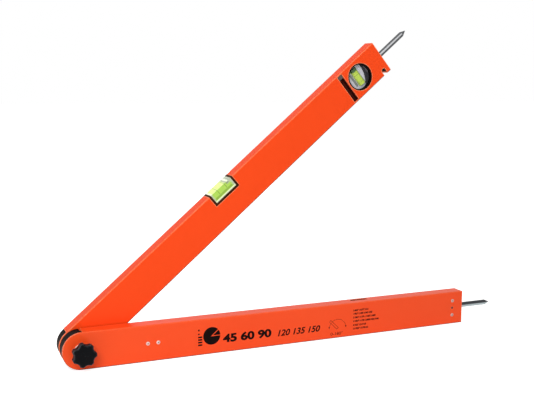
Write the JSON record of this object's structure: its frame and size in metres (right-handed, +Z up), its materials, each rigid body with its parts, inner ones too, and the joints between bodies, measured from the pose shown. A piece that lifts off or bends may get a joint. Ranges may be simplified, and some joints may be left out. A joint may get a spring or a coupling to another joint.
{
  "type": "angle finder",
  "caption": "Folding angle finder: two flat tube arms on a clamped hinge, level and plumb vials, angle scale window and plug-in steel points.",
  "frame": {"origin": "on the base arm's lower measuring edge, straight below the hinge axis, at the middle of that arm's depth", "axes": "+X along the base arm to its free end, +Y from the knob side to the back, +Z up; the hinge axis lies along Y"},
  "size_m": [0.6752, 0.0714, 0.4468],
  "materials": {
    "orange_coat": "orange powder coat on an aluminium extrusion, satin",
    "black_nylon": "black glass-filled nylon, fine moulded grain",
    "knob_black": "black moulded knob, softly polished on the lobes",
    "rivet_alloy": "bare aluminium rivet",
    "black_screw": "blackened steel screw",
    "bright_steel": "zinc-plated steel",
    "point_steel": "ground steel",
    "spring_steel": "spring wire",
    "band_steel": "pale enamelled steel band with a printed scale",
    "hub_alloy": "turned aluminium",
    "drum_nylon": "natural nylon",
    "fibre": "pressed friction fibre",
    "brass_bush": "turned brass",
    "clear_acrylic": "clear cast acrylic",
    "vial_liquid": "yellow-green vial liquid",
    "vial_air": "air bubble",
    "milky": "milky acrylic",
    "grey_tab": "grey moulded plastic"
  },
  "bodies": {
    "base_arm": {"base_tube": "orange_coat", "base_hinge_insert": "black_nylon", "base_insert_rivets": "rivet_alloy", "base_end_plug": "black_nylon", "base_end_rivets": "rivet_alloy", "base_set_screw": "black_screw", "window_frame": "black_nylon", "window_lens": "clear_acrylic", "band_guide": "black_nylon", "band_lead": "band_steel", "return_spring": "spring_steel", "closing_stud": "bright_steel", "friction_disc": "fibre"},
    "swing_arm": {"swing_tube": "orange_coat", "swing_hinge_insert": "black_nylon", "swing_insert_rivets": "rivet_alloy", "swing_end_plug": "black_nylon", "swing_end_rivets": "rivet_alloy", "swing_set_screw": "black_screw", "level_frame": "black_nylon", "level_block": "clear_acrylic", "level_liquid": "vial_liquid", "level_bubble": "vial_air", "level_cap": "clear_acrylic", "plumb_ring": "black_nylon", "plumb_body": "milky", "plumb_grip": "black_nylon", "plumb_tube": "clear_acrylic", "plumb_liquid": "vial_liquid", "plumb_bubble": "vial_air", "vial_carrier": "black_nylon", "slot_tab": "grey_tab", "pivot_hub": "hub_alloy", "band_drum": "drum_nylon", "wound_band": "band_steel", "clamp_bolt": "bright_steel"},
    "scale_band": {"scale_band": "band_steel"},
    "knob_washer": {"knob_washer": "bright_steel"},
    "star_knob": {"star_knob": "knob_black", "knob_insert": "brass_bush"},
    "base_point": {"base_point": "point_steel"},
    "swing_point": {"swing_point": "point_steel"}
  },
  "joints": [
    {"name": "arm_hinge", "type": "hinge", "parent": "base_arm", "child": "swing_arm", "pos_m": [0, 0.0115, 0.025], "axis": [0, -1, 0], "range_deg": [-40.44, 139.56]},
    {"name": "scale_travel", "type": "slide", "parent": "base_arm", "child": "scale_band", "axis": [-1, 0, 0], "range_m": [-0.01432, 0.04918], "deforming": ["return_spring", "band_lead"]},
    {"name": "knob_travel", "type": "slide", "parent": "swing_arm", "child": "knob_washer", "axis": [0, -1, 0], "range_m": [0, 0.00135]},
    {"name": "knob_turn", "type": "hinge", "parent": "knob_washer", "child": "star_knob", "pos_m": [0, -0.022, 0.025], "axis": [0, -1, 0], "range_deg": [0, 360]},
    {"name": "base_point_slide", "type": "slide", "parent": "base_arm", "child": "base_point", "axis": [1, 0, 0], "range_m": [0, 0.023]},
    {"name": "swing_point_slide", "type": "slide", "parent": "swing_arm", "child": "swing_point", "axis": [0.7611, 0, 0.6487], "range_m": [0, 0.023]}
  ],
  "couplings": [
    {"joint": "scale_travel", "follows": "arm_hinge", "m_per_rad": 0.02015},
    {"joint": "knob_travel", "follows": "knob_turn", "m_per_rad": 0.00019894}
  ]
}
